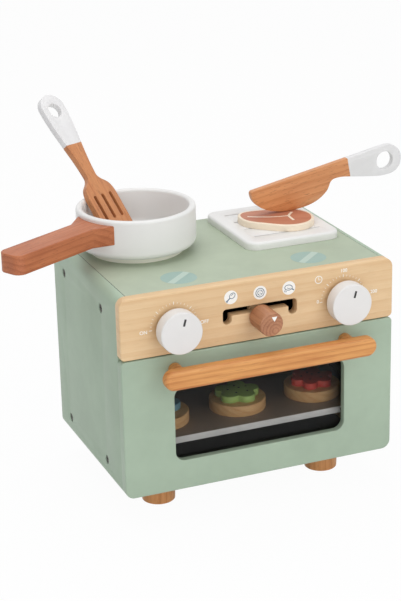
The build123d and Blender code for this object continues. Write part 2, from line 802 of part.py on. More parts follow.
yoke_tip = sqrt(pan_radius**2 - (yoke_width / 2) ** 2) - pan_wall / 2
with BuildPart() as pan_handle:
    with BuildSketch(yoke_plane) as yoke_outline:
        with BuildLine():
            Polyline(
                (yoke_tip, -yoke_width / 2),
                (yoke_reach, -pan_handle_width / 2),
                (pan_handle_reach, -pan_handle_width / 2),
                (pan_handle_reach, pan_handle_width / 2),
                (yoke_reach, pan_handle_width / 2),
                (yoke_tip, yoke_width / 2),
                close=True,
            )
        make_face()
        fillet(yoke_outline.vertices().sort_by(Axis.X)[-2:], pan_handle_end_round)
    extrude(amount=pan_handle_height)
    for face in pan_handle.faces().filter_by(Plane.XY):
        fillet(face.edges(), pan_handle_round)
    with Locations((burner_x, burner_y, burner_top)):
        Cylinder(pan_radius + glue_line, pan_height, align=(Align.CENTER, Align.CENTER, Align.MIN),
                 mode=Mode.SUBTRACT)
    drill(pan_dowel_spots, pan_dowel_radius, pan_dowel_end - pan_dowel_start)
save(pan_handle, "pan_handle")

with BuildPart() as pan_handle_dowels:
    with Locations(*pan_dowel_spots):
        Cylinder(pan_dowel_radius, pan_dowel_end - pan_dowel_start, align=INTO)
save(pan_handle_dowels, "pan_handle_dowels")

# ---------------------------------------------------------------- spatula

yaw = radians(spatula_yaw)
lean = radians(spatula_lean)
across = Vector(cos(yaw), sin(yaw), 0)
level_back = Vector(-sin(yaw), cos(yaw), 0)
along = level_back * cos(lean) + Vector(0, 0, sin(lean))
ring_radius = pan_radius - pan_wall + rim_round
reach_across = blade_half_width + abs(spatula_offset)
ring_back = sqrt(ring_radius**2 - reach_across**2)
ring_level = pan_top - rim_round
plane_offset = -sin(lean) * ring_back + cos(lean) * ring_level + rim_round + rest_gap
tip_level = burner_top + pan_floor + rest_gap
tip_back = (cos(lean) * tip_level - plane_offset) / sin(lean)
spatula_tip = (
    Vector(burner_x, burner_y, tip_level) + level_back * tip_back + across * spatula_offset
)
spatula_plane = Plane(origin=spatula_tip, x_dir=across, z_dir=across.cross(along))

with BuildPart() as spatula:
    with BuildSketch(spatula_plane) as spatula_outline:
        with BuildLine() as right_edge:
            tip_edge = Line((0, 0), (blade_half_width, 0))
            blade_edge = Line(tip_edge @ 1, (blade_half_width, shoulder_level))
            shoulder = Spline(
                blade_edge @ 1,
                shoulder_mid,
                (neck_half_width, neck_level),
                tangents=[(0, 1), (-0.25, 1)],
            )
            grip = Spline(
                shoulder @ 1,
                (grip_half_width, spatula_length - grip_half_width),
                tangents=[(0.02, 1), (0, 1)],
            )
            end = RadiusArc(grip @ 1, (0, spatula_length), -grip_half_width)
            mirror(about=Plane.YZ)
        make_face()
        fillet(spatula_outline.vertices().sort_by(Axis.Y)[:2], blade_corner)
        with Locations((0, spatula_length - spatula_hole_inset)):
            Circle(spatula_hole_radius, mode=Mode.SUBTRACT)
        with Locations((0, blade_slot_start + blade_slot_length / 2)):
            with GridLocations(blade_slot_pitch, 0, blade_slot_count, 1):
                SlotOverall(blade_slot_length, blade_slot_width, rotation=90, mode=Mode.SUBTRACT)
    extrude(amount=spatula_thickness)
save(spatula, "spatula")

# ---------------------------------------------------------------- steak and knife

with BuildPart() as steak:
    with BuildSketch(Plane.XY.offset(grill_top)):
        with BuildLine():
            Spline(*steak_outline, periodic=True)
        make_face()
    extrude(amount=steak_thickness)
    fillet(steak.faces().sort_by(Axis.Z)[-1].edges(), soft_round)
save(steak, "steak")

tilt = radians(knife_tilt)
knife_plane = Plane(
    origin=(knife_belly_x, knife_face_y + knife_thickness, steak_top + knife_belly_drop + rest_gap),
    x_dir=(cos(tilt), 0, sin(tilt)),
    z_dir=(0, -1, 0),
)
with BuildPart() as knife:
    with BuildSketch(knife_plane) as knife_outline:
        with BuildLine():
            belly = Spline(*knife_belly)
            heel = ThreePointArc(belly @ 1, *knife_heel)
            underside = Spline(
                heel @ 1,
                *knife_underside,
                (knife_grip_x, knife_grip_level - knife_grip_radius),
                tangents=[(1, 0), (1, 0)],
            )
            grip_end = ThreePointArc(
                underside @ 1,
                (knife_grip_x + knife_grip_radius, knife_grip_level),
                (knife_grip_x, knife_grip_level + knife_grip_radius),
            )
            spine = Line(grip_end @ 1, knife_spine_end)
            ThreePointArc(spine @ 1, knife_tip, belly @ 0)
        make_face()
        with Locations((knife_hole_x, knife_grip_level)):
            Circle(knife_hole_radius, mode=Mode.SUBTRACT)
    extrude(amount=knife_thickness)
save(knife, "knife")

# ---------------------------------------------------------------- biscuits

for index, word in enumerate(("left", "middle", "right")):
    spot = ((index - 1) * biscuit_pitch, biscuit_y)
    with BuildPart() as biscuit:
        with BuildSketch(Plane.XY.offset(tray_top)):
            with Locations(spot):
                Circle(biscuit_radius)
        extrude(amount=biscuit_thickness)
        fillet(biscuit.faces().sort_by(Axis.Z)[-1].edges(), soft_round)
    save(biscuit, f"{word}_biscuit")

    with BuildPart() as topping:
        with BuildSketch(Plane.XY.offset(tray_top + biscuit_thickness)) as topping_outline:
            with Locations(spot):
                Circle(topping_middle_radii[index])
                with PolarLocations(topping_ring_radii[index], topping_lobe_counts[index]):
                    Circle(topping_lobe_radii[index])
            fillet(topping_outline.vertices(), topping_hollow_round)
        extrude(amount=topping_thickness)
    save(topping, f"{word}_topping")
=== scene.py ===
"""A wooden toy oven with its pan, grill and play food, dressed for a studio photograph.

Metres, in the part's own frame: X to the right, Y to the back, Z up, the table at Z = 0.
"""

import json
import math

import bmesh
import bpy
from mathutils import Matrix, Vector

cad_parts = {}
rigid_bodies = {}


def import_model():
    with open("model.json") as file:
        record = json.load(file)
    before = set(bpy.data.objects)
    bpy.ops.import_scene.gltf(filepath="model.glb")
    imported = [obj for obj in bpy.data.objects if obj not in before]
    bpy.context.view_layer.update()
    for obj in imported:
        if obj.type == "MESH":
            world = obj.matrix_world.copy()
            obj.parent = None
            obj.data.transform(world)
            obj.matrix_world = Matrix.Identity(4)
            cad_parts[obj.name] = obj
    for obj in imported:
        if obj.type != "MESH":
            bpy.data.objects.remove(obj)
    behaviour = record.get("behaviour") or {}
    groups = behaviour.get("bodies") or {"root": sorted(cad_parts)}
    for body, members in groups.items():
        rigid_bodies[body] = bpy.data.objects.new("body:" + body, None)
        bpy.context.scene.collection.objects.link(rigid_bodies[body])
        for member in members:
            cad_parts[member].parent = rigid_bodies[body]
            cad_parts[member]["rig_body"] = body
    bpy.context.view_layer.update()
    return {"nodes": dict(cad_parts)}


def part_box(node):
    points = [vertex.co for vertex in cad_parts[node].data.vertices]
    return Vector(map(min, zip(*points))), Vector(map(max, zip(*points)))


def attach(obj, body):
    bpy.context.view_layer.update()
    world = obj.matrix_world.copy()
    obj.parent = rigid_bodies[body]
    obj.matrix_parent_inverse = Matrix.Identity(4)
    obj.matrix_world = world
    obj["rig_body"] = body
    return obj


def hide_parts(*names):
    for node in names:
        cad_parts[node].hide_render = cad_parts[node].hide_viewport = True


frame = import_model()

# Places on the part, in mm
MM = 0.001
FRONT = -87.0  # face of the fascia and the door
HOB_TOP = 207.0
# Groove floors of the grill are coloured grey: painted shade in the grooves.
GROOVE_LIMIT = 213.2  # a face of the grill that looks up from lower than this lies in a groove
STEAK_TOP = 220.0
STEAK_RIM = 1.5  # pale rim round the steak's brown face
DIAL_X = 77.5  # each dial's middle, to the left and to the right
DIAL_Z = 176.9
DIAL_FACE = -105.0
PEG_FACE = -110.6  # front end of the selector's knob
PICTURE_XS = (-26.5, 0, 26.5)  # the three pictures over the selector's slot
PICTURE_Z = 194.7
HOB_MARK_X = 60.0  # each ring mark's middle, to the left and to the right
HOB_MARK_Y = -55.0
HOB_MARK_RADIUS = 15.5
SEAM_X = 116.0  # past this the hob's faces belong to its seams with the side panels
SEAM_Z = 205.8
PROUD = 0.05  # how far a print stands off its face
PEN_THICKNESS = 0.06
LETTER_HEIGHT = 3.1
KNIFE_BUTT = (70.5, 221.6)  # X and Z of the corner that the knife is measured from
KNIFE_FACE = 35.5  # Y of the knife's front
KNIFE_MIDDLE = 38.5  # Y of the middle of its thickness
KNIFE_TILT = 9.8  # degrees that its handle rises to the right


# ---------------------------------------------------------------- colours and material recipes


def shade(red, green, blue):
    """A colour as it is read off a screen, turned into the renderer's linear colour."""
    parts = [c / 255 for c in (red, green, blue)]
    return [c / 12.92 if c <= 0.04045 else ((c + 0.055) / 1.055) ** 2.4 for c in parts] + [1.0]


class Finish:
    """A material under construction, with short calls for the nodes that the finishes share."""

    def __init__(self, name, roughness, metallic=0.0):
        self.material = bpy.data.materials.new(name)
        self.material.use_nodes = True
        self.tree = self.material.node_tree
        self.shader = self.tree.nodes["Principled BSDF"]
        self.shader.inputs["Roughness"].default_value = roughness
        self.shader.inputs["Metallic"].default_value = metallic
        self.place = self.tree.nodes.new("ShaderNodeTexCoord").outputs["Object"]

    def put(self, socket, value):
        """Feeds a socket from another node, or sets it to a constant."""
        if isinstance(value, bpy.types.NodeSocket):
            self.tree.links.new(value, socket)
        else:
            socket.default_value = value

    def along(self, centre=(0, 0, 0), turn=(0, 0, 0), size=(1, 1, 1)):
        """Object coordinates from a centre in mm, turned in degrees, in units of size in mm."""
        mapping = self.tree.nodes.new("ShaderNodeMapping")
        mapping.vector_type = "TEXTURE"
        mapping.inputs["Location"].default_value = [c * MM for c in centre]
        mapping.inputs["Rotation"].default_value = [math.radians(a) for a in turn]
        mapping.inputs["Scale"].default_value = [s * MM for s in size]
        self.tree.links.new(self.place, mapping.inputs["Vector"])
        return mapping.outputs["Vector"]

    def noise(self, vector, scale=1.0, detail=2.0, roughness=0.5, distortion=0.0):
        made = self.tree.nodes.new("ShaderNodeTexNoise")
        self.put(made.inputs["Vector"], vector)
        for name, value in (("Scale", scale), ("Detail", detail), ("Roughness", roughness),
                            ("Distortion", distortion)):
            made.inputs[name].default_value = value
        return made.outputs["Fac"]

    def rings(self, vector):
        """Rings one unit apart round the X axis of the vector, each growing darker and then ending."""
        made = self.tree.nodes.new("ShaderNodeTexWave")
        made.wave_type = "RINGS"
        made.rings_direction = "X"
        made.wave_profile = "SAW"
        self.put(made.inputs["Vector"], vector)
        one_unit_apart = 0.3142
        for name, value in (("Scale", one_unit_apart), ("Distortion", 3.0), ("Detail", 2.0), ("Detail Scale", 0.6)):
            made.inputs[name].default_value = value
        return made.outputs["Fac"]

    def ramp(self, factor, low, high, start=0.0, end=1.0):
        """The factor, spread so that low becomes start and high becomes end."""
        made = self.tree.nodes.new("ShaderNodeMapRange")
        made.interpolation_type = "SMOOTHSTEP"
        self.put(made.inputs["Value"], factor)
        for name, value in (("From Min", low), ("From Max", high), ("To Min", start), ("To Max", end)):
            made.inputs[name].default_value = value
        return made.outputs["Result"]

    def calc(self, operation, first, second):
        made = self.tree.nodes.new("ShaderNodeMath")
        made.operation = operation
        self.put(made.inputs[0], first)
        self.put(made.inputs[1], second)
        return made.outputs["Value"]

    def mix(self, factor, first, second):
        made = self.tree.nodes.new("ShaderNodeMix")
        made.data_type = "RGBA"
        self.put(made.inputs["Factor"], factor)
        self.put(made.inputs["A"], first)
        self.put(made.inputs["B"], second)
        return made.outputs["Result"]

    def axis(self, vector, name):
        """One coordinate of a vector."""
        made = self.tree.nodes.new("ShaderNodeSeparateXYZ")
        self.put(made.inputs["Vector"], vector)
        return made.outputs[name]

    def finish(self, colour, height=None, depth=0.1, strength=0.5, roughness=None):
        """The material with its colour, its relief (depth in mm) and its gloss."""
        self.put(self.shader.inputs["Base Color"], colour)
        if roughness is not None:
            self.put(self.shader.inputs["Roughness"], roughness)
        if height is not None:
            bump = self.tree.nodes.new("ShaderNodeBump")
            bump.inputs["Strength"].default_value = strength
            bump.inputs["Distance"].default_value = depth * MM
            self.put(bump.inputs["Height"], height)
            self.put(self.shader.inputs["Normal"], bump.outputs["Normal"])
        return self.material


def wood_look(made, light, dark, centre=(0, 0, 0), turn=(0, 0, 0), rings=6.0, flecks=0.35, contrast=1.0,
              fleck_length=7.5):
    """Colour and height of bare wood whose grain runs along X before the turn.

    The year rings lie round that line, so that a cut across the grain shows them as arcs.
    """
    clouds = made.noise(made.along(centre, turn, (60, 14, 14)), 1.0, 3.0, 0.55, 0.4)
    fibres = made.noise(made.along(centre, turn, (45, 1.2, 1.2)), 1.0, 4.0, 0.62)
    pores = made.ramp(made.noise(made.along(centre, turn, (fleck_length, 0.7, 0.7)), 1.0, 2.0, 0.5), 0.60, 0.70)
    grown = made.ramp(made.rings(made.along(centre, turn, (rings * 9, rings, rings))), 0.35, 1.0)
    tone = made.calc("MULTIPLY", made.ramp(clouds, 0.30, 0.72), 0.40 * contrast)
    tone = made.calc("ADD", tone, made.calc("MULTIPLY", grown, 0.36 * contrast))
    tone = made.calc("ADD", tone, made.calc("MULTIPLY", made.ramp(fibres, 0.3, 0.75), 0.26 * contrast))
    colour = made.mix(tone, shade(*light), shade(*dark))
    deep = [c * 0.45 for c in shade(*dark)[:3]] + [1.0]
    colour = made.mix(made.calc("MULTIPLY", pores, flecks), colour, deep)
    height = made.calc("SUBTRACT", fibres, made.calc("MULTIPLY", pores, 0.8))
    return colour, height, fibres


def wood(name, light, dark, roughness, **look):
    """Bare sanded wood."""
    made = Finish(name, roughness)
    colour, height, fibres = wood_look(made, light, dark, **look)
    gloss = made.ramp(fibres, 0.2, 0.8, roughness - 0.07, roughness + 0.12)
    return made.finish(colour, height, 0.10, 0.45, gloss)


def paint_look(made, colour, drift=0.05):
    """Colour and height of rolled matt paint over sanded board."""
    cloud = made.noise(made.along(size=(38, 38, 38)), 1.0, 3.0, 0.6)
    peel = made.noise(made.along(size=(1.5, 1.5, 1.5)), 1.0, 2.0, 0.5)
    fibre = made.noise(made.along(size=(40, 40, 1.6)), 1.0, 2.0, 0.5)
    base = shade(*colour)
    darker = [c * (1 - drift) for c in base[:3]] + [1.0]
    lighter = [min(1.0, c * (1 + drift)) for c in base[:3]] + [1.0]
    height = made.calc("ADD", peel, made.calc("MULTIPLY", fibre, 0.35))
    return made.mix(made.ramp(cloud, 0.25, 0.75), darker, lighter), height


def paint(name, colour, roughness=0.5, drift=0.05, depth=0.03):
    """Rolled matt paint, a little glossier in some places than in others."""
    made = Finish(name, roughness)
    tone, height = paint_look(made, colour, drift)
    patches = made.noise(made.along(size=(16, 16, 16)), 1.0, 3.0)
    sheen = made.ramp(patches, 0.25, 0.8, roughness - 0.05, roughness + 0.07)
    return made.finish(tone, height, depth, 0.35, sheen)


def worn_paint(name, colour, under):
    """Paint on an edge that hands touch: thin in places, so that the board shows."""
    made = Finish(name, 0.5)
    tone, height = paint_look(made, colour)
    rubbed = made.ramp(made.noise(made.along(size=(5, 5, 5)), 1.0, 5.0, 0.7), 0.62, 0.72, 0.0, 0.75)
    paler = [min(1.0, c * 1.08) for c in shade(*colour)[:3]] + [1.0]
    return made.finish(made.mix(rubbed, made.mix(0.5, tone, paler), shade(*under)), height, 0.04, 0.35)


def metal(name, colour, roughness):
    """Bright metal with fine scratches."""
    made = Finish(name, roughness, metallic=1.0)
    scratches = made.noise(made.along(size=(3.0, 0.12, 0.12)), 1.0, 3.0, 0.6)
    base = shade(*colour)
    tone = made.mix(scratches, [c * 0.8 for c in base[:3]] + [1.0], base)
    gloss = made.ramp(scratches, 0.2, 0.8, roughness - 0.1, roughness + 0.15)
    return made.finish(tone, scratches, 0.02, 0.3, gloss)


GREEN = (167, 185, 163)
PALE_GREEN = (173, 184, 161)
WHITE = (233, 231, 228)
BIRCH = (235, 203, 159)
BIRCH_DARK = (217, 174, 125)
# Inside of the oven: near-black, partly a dark finish and partly painted shade of the closed cavity.
OVEN_DARK_AND_SHADE = (50, 50, 45)

green_paint = paint("green_paint", GREEN)
green_edge = worn_paint("green_edge", (184, 200, 184), BIRCH)
hob_edge = worn_paint("hob_edge", (188, 201, 186), BIRCH)
white_paint = paint("white_paint", WHITE, 0.36, 0.015, 0.02)
ivory_dial = paint("ivory_dial", (230, 227, 224), 0.42, 0.02, 0.02)
cream_paint = paint("cream_paint", (243, 240, 226), 0.42, 0.03)
# Near-black for the oven's ceiling: a dark finish that also serves as painted shade inside the oven.
dark_paint = paint("dark_paint", OVEN_DARK_AND_SHADE, 0.62, 0.12)
seam_shadow = paint("seam_shadow", (96, 104, 94), 0.7, 0.1)
# Grey for the floors of the grill's grooves: painted shade.
groove_painted_shade = paint("groove_painted_shade", (96, 88, 86), 0.6, 0.1)
front_wood = wood("front_wood", BIRCH, BIRCH_DARK, 0.5, centre=(30, -60, 130), rings=8.0, flecks=0.08, contrast=0.75)
plain_wood = wood("plain_wood", BIRCH, BIRCH_DARK, 0.55, centre=(0, 30, 90), flecks=0.12)
bar_wood = wood("bar_wood", (228, 164, 94), (186, 108, 50), 0.42, centre=(10, -122, 128), rings=4.5, flecks=0.35,
                contrast=1.05, fleck_length=16)
foot_wood = wood("foot_wood", (224, 160, 102), (188, 120, 62), 0.45, turn=(0, 90, 0), rings=5.0, flecks=0.45)
pan_handle_wood = wood("pan_handle_wood", (196, 118, 74), (154, 78, 42), 0.42,
                       centre=(-140, -5, 215), turn=(0, 0, 29), rings=4.5, flecks=0.5)
peg_wood = wood("peg_wood", (196, 138, 100), (140, 84, 54), 0.42, centre=(3, 0, 168), turn=(0, 0, 90), rings=3.0,
                flecks=0.2)
biscuit_wood = wood("biscuit_wood", (250, 206, 146), (226, 168, 106), 0.5, turn=(0, 0, 15), rings=5.0, flecks=0.3)
black_steel = metal("black_steel", (84, 80, 76), 0.42)
nickel = metal("nickel", (196, 194, 190), 0.28)
black_print = paint("black_print", (44, 42, 42), 0.45, 0.05)
white_print = paint("white_print", (252, 249, 243), 0.45, 0.01)
blue_print = paint("blue_print", (92, 116, 134), 0.45, 0.04)
ring_print = paint("ring_print", (156, 182, 172), 0.5, 0.03)
stripe_print = paint("stripe_print", (186, 204, 192), 0.5, 0.02)
steak_side = paint("steak_side", (243, 226, 202), 0.45, 0.03)
steak_brown = wood("steak_brown", (200, 134, 104), (180, 110, 82), 0.5, turn=(0, 0, -20), rings=9.0, flecks=0.2)
bone_cream = paint("bone_cream", (246, 232, 210), 0.45, 0.02)
topping_paint = {
    "left": paint("blue_topping", (124, 172, 188), 0.45, 0.05),
    "middle": paint("green_topping", (178, 212, 118), 0.45, 0.05),
    "right": paint("red_topping", (228, 84, 70), 0.45, 0.05),
}


def boards(name, outside, inside, limits):
    """Paint for a cabinet board: one colour outside, and another on the sides that line the oven.

    limits holds (axis, low, high) in mm: the lining shows where all of them hold. The near-black lining of the oven
    is partly a dark finish and partly painted shade of the closed cavity.
    """
    made = Finish(name, 0.52)
    tone, height = paint_look(made, outside)
    lining, _ = paint_look(made, inside, 0.12)
    where = made.along(size=(1, 1, 1))
    held = 1.0
    for axis, low, high in limits:
        value = made.axis(where, axis)
        above = made.calc("GREATER_THAN", value, low)
        below = made.calc("LESS_THAN", value, high)
        held = made.calc("MULTIPLY", made.calc("MULTIPLY", above, below), held)
    return made.finish(made.mix(held, tone, lining), height, 0.03, 0.35)


# The inner faces of the cabinet boards get the near-black lining, partly painted shade inside the oven.
INSIDE_X = ("X", -116.8, 116.8)
side_boards = boards("side_boards", GREEN, OVEN_DARK_AND_SHADE, [INSIDE_X, ("Z", 30, 205)])
back_board = boards("back_board", GREEN, OVEN_DARK_AND_SHADE, [("Y", -90, 86.5)])
floor_board = boards("floor_board", GREEN, OVEN_DARK_AND_SHADE, [("Z", 36.5, 60)])
hob_board = boards("hob_board", PALE_GREEN, OVEN_DARK_AND_SHADE, [("Z", 100, 206)])
# Tray: a darker top over a pale front edge. The top's darkness is painted shade inside the oven.
tray_top_painted_shade = boards("tray_top_painted_shade", (146, 130, 114), (222, 220, 216), [("Y", -76, -73.7)])


def two_tone(name, light, dark, centre, turn, cut, **look):
    """Bare wood with its far end dipped in white paint, from cut on, in mm along the turned X."""
    made = Finish(name, 0.42)
    colour, height, _ = wood_look(made, light, dark, centre=centre, turn=turn, **look)
    tone, peel = paint_look(made, (230, 228, 227), 0.02)
    reach = made.axis(made.along(centre, turn, (1, 1, 1)), "X")
    wobble = made.calc("MULTIPLY", made.noise(made.along(size=(6, 6, 6))), 0.5)
    dipped = made.ramp(made.calc("ADD", reach, wobble), cut, cut + 0.35)
    height = made.mix(dipped, height, made.calc("MULTIPLY", peel, 0.2))
    return made.finish(made.mix(dipped, colour, tone), height, 0.08, 0.4)


def clear_pane(name):
    """Smoke-tinted clear sheet, thin enough to let the light through."""
    made = Finish(name, 0.06)
    made.shader.inputs["IOR"].default_value = 1.49
    made.shader.inputs["Alpha"].default_value = 0.16
    smear = made.noise(made.along(size=(30, 30, 30)), 1.0, 4.0, 0.6)
    tone = made.mix(smear, shade(24, 25, 24), shade(34, 35, 33))
    return made.finish(tone, None, roughness=made.ramp(smear, 0.3, 0.8, 0.04, 0.10))


pane_sheet = clear_pane("pane_sheet")


# ---------------------------------------------------------------- pieces


def piece(name, work, body, materials, stands_for=(), angle=35):
    """A finished object at the origin, riding on its body, from a bmesh in metres."""
    mesh = bpy.data.meshes.new(name)
    work.to_mesh(mesh)
    work.free()
    for material in materials:
        mesh.materials.append(material)
    mesh.shade_smooth()
    mesh.set_sharp_from_angle(angle=math.radians(angle))
    made = bpy.data.objects.new(name, mesh)
    bpy.context.scene.collection.objects.link(made)
    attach(made, body)
    if stands_for:
        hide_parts(*stands_for)
    return made


def body_of(node):
    return frame["nodes"][node]["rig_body"]


def rounded_edges(work, width, segments):
    """Rounds the edges over 30 degrees of a closed mesh and returns the new faces."""
    edges = [edge for edge in work.edges
             if len(edge.link_faces) == 2 and edge.calc_face_angle(0) > math.radians(30)]
    eased = bmesh.ops.bevel(work, geom=edges, offset=width * MM, offset_type="OFFSET", affect="EDGES",
                            segments=segments, profile=0.5, material=-1, clamp_overlap=True)
    return eased["faces"]


def dressed(node, materials, width, segments=2, edge_material=None, painted=None, shape=None, detail=None,
            angle=35):
    """A copy of a part's solid with its corners eased, in place of the solid.

    shape and detail change the mesh before and after the corners are eased. painted is a material and a
    test of a face's middle (mm) and normal, for the faces that have another colour.
    """
    work = bmesh.new()
    work.from_mesh(frame["nodes"][node].data)
    bmesh.ops.remove_doubles(work, verts=work.verts, dist=0.00001)
    if shape:
        shape(work)
    bmesh.ops.dissolve_limit(work, angle_limit=math.radians(0.6), verts=work.verts, edges=work.edges,
                             delimit={"NORMAL"})
    finishes = list(materials)
    for face in work.faces:
        face.material_index = 0
    fresh = rounded_edges(work, width, segments)
    if edge_material:
        for face in fresh:
            face.material_index = len(finishes)
        finishes.append(edge_material)
    bmesh.ops.recalc_face_normals(work, faces=work.faces)
    if painted:
        material, test = painted
        for face in work.faces:
            if test(face.calc_center_median() / MM, face.normal):
                face.material_index = len(finishes)
        finishes.append(material)
    if detail:
        detail(work)
    return piece(f"{node}_look", work, body_of(node), finishes, [node], angle)


def ground_edge(work):
    """The slope that is ground along the cutting edge of the knife, on the side that faces the front."""
    tilt, slope, lean = math.radians(KNIFE_TILT), math.radians(8.0), math.radians(20)
    blade_end = 70 * MM
    along = Vector((math.cos(tilt), 0, math.sin(tilt)))
    across = Vector((-math.sin(tilt), 0, math.cos(tilt)))
    butt = Vector((KNIFE_BUTT[0], KNIFE_FACE, KNIFE_BUTT[1])) * MM
    everything = work.verts[:] + work.edges[:] + work.faces[:]
    bmesh.ops.bisect_plane(work, geom=everything, plane_co=butt + along * blade_end, plane_no=along)
    blade = [face for face in work.faces if (face.calc_center_median() - butt).dot(along) < blade_end]
    blade_parts = blade + list({edge for face in blade for edge in face.edges})
    blade_parts += list({vert for face in blade for vert in face.verts})
    down = along * math.sin(slope) - across * math.cos(slope)
    out = Vector((0, -1, 0)) * math.cos(lean) + down * math.sin(lean)
    bmesh.ops.bisect_plane(work, geom=blade_parts, plane_co=butt + (along * 12 - across * 1.5) * MM,
                           plane_no=out, clear_outer=True)
    bmesh.ops.holes_fill(work, edges=[edge for edge in work.edges if edge.is_boundary], sides=0)


def browned_top(work):
    """The brown face of the steak, inside a rim of its pale side."""
    top = max((face for face in work.faces if face.normal.z > 0.99), key=lambda face: face.calc_area())
    bmesh.ops.inset_region(work, faces=[top], thickness=STEAK_RIM * MM, use_even_offset=True)
    top.material_index = 1


# Cabinet
for word in ("left", "right"):
    dressed(f"{word}_side_panel", [side_boards], 0.4, edge_material=green_edge)
    dressed(f"{word}_battens", [plain_wood], 0.2, 1)
    dressed(f"{word}_side_screws", [black_steel], 0.15, 1)
dressed("top_panel", [hob_board], 0.25, edge_material=hob_edge, painted=(
    seam_shadow, lambda spot, facing: abs(spot.x) > SEAM_X and spot.z > SEAM_Z and facing.z < 0.97))
dressed("bottom_panel", [floor_board], 0.3)
dressed("back_panel", [back_board], 0.3)
# The oven's ceiling, all near-black: partly painted shade of the cavity.
dressed("oven_ceiling", [dark_paint], 0.3)
dressed("fascia", [front_wood], 0.35)
# Tray, with its top darkened as painted shade.
dressed("tray", [tray_top_painted_shade], 0.35)
dressed("tray_runners", [plain_wood], 0.3)
for place in ("front_left", "front_right", "back_left", "back_right"):
    dressed(f"{place}_foot", [foot_wood], 0.5)
for node in ("foot_screws", "handle_screws", "pane_screws", "selector_screw", "left_dial_screw", "right_dial_screw"):
    dressed(node, [black_steel], 0.12, 1)
for node in ("left_hinge_fixed_leaf", "right_hinge_fixed_leaf", "left_hinge_door_leaf", "right_hinge_door_leaf",
             "hinge_pins", "hinge_cabinet_screws", "hinge_door_screws", "door_magnet", "door_catch_disc"):
    dressed(node, [nickel], 0.10, 1)
for node in ("fascia_dowels", "pan_handle_dowels", "selector_stem", "selector_retainer",
             "left_dial_spindle", "right_dial_spindle"):
    dressed(node, [plain_wood], 0.2)

# Door
dressed("door_panel", [green_paint], 0.3, edge_material=green_edge)
dressed("window_pane", [pane_sheet], 0.2, 1)
dressed("door_handle", [bar_wood], 0.3)
dressed("handle_standoffs", [bar_wood], 0.2)

# Dials and selector
for word in ("left", "right"):
    dressed(f"{word}_dial", [ivory_dial], 0.3)
dressed("selector_knob", [peg_wood], 0.3)

# Hob, pan and tools
dressed("burner_disc", [cream_paint], 0.3)
# Grill plate, with its groove floors painted grey as shade.
dressed("grill_plate", [white_paint], 0.15, painted=(
    groove_painted_shade, lambda spot, facing: spot.z < GROOVE_LIMIT and facing.z > 0.7))
dressed("pan_body", [white_paint], 0.3)
dressed("pan_handle", [pan_handle_wood], 0.3)
spatula_wood = two_tone("spatula_wood", (208, 142, 92), (176, 104, 60), centre=(-100.3, 101.5, 286.7),
                        turn=(0, -50.5, 115.5), cut=0, rings=5.0, flecks=0.5)
dressed("spatula", [spatula_wood], 0.5, 2)
knife_wood = two_tone("knife_wood", (224, 156, 102), (192, 118, 66),
                      centre=(KNIFE_BUTT[0], KNIFE_MIDDLE, KNIFE_BUTT[1]), turn=(0, -KNIFE_TILT, 0), cut=78.5,
                      rings=6.0, flecks=0.6)
dressed("knife", [knife_wood], 0.5, 2, shape=ground_edge, angle=30)

# Play food
dressed("steak", [steak_side, steak_brown], 0.3, detail=browned_top)
for word, material in topping_paint.items():
    dressed(f"{word}_biscuit", [biscuit_wood], 0.4)
    dressed(f"{word}_topping", [material], 0.4)


# ---------------------------------------------------------------- printed marks


def on_front(y):
    """Where artwork lies on a face that looks to the front: its X and Y, in mm, become X and Z."""
    return Matrix.Translation((0, (y - PROUD) * MM, 0)) @ Matrix.Rotation(math.pi / 2, 4, "X") @ Matrix.Scale(MM, 4)


def on_top(z):
    """Where artwork lies on a face that looks up, with its X and Y in mm."""
    return Matrix.Translation((0, 0, (z + PROUD) * MM)) @ Matrix.Scale(MM, 4)


def oval(x, y, length, height, turn=0, start=0, end=360, steps=24):
    """Points round an oval, or round a stretch of it."""
    turn = math.radians(turn)
    points = []
    for step in range(steps if end - start == 360 else steps + 1):
        angle = math.radians(start + (end - start) * step / steps)
        across, up = math.cos(angle) * length / 2, math.sin(angle) * height / 2
        points.append((x + across * math.cos(turn) - up * math.sin(turn),
                       y + across * math.sin(turn) + up * math.cos(turn)))
    return points


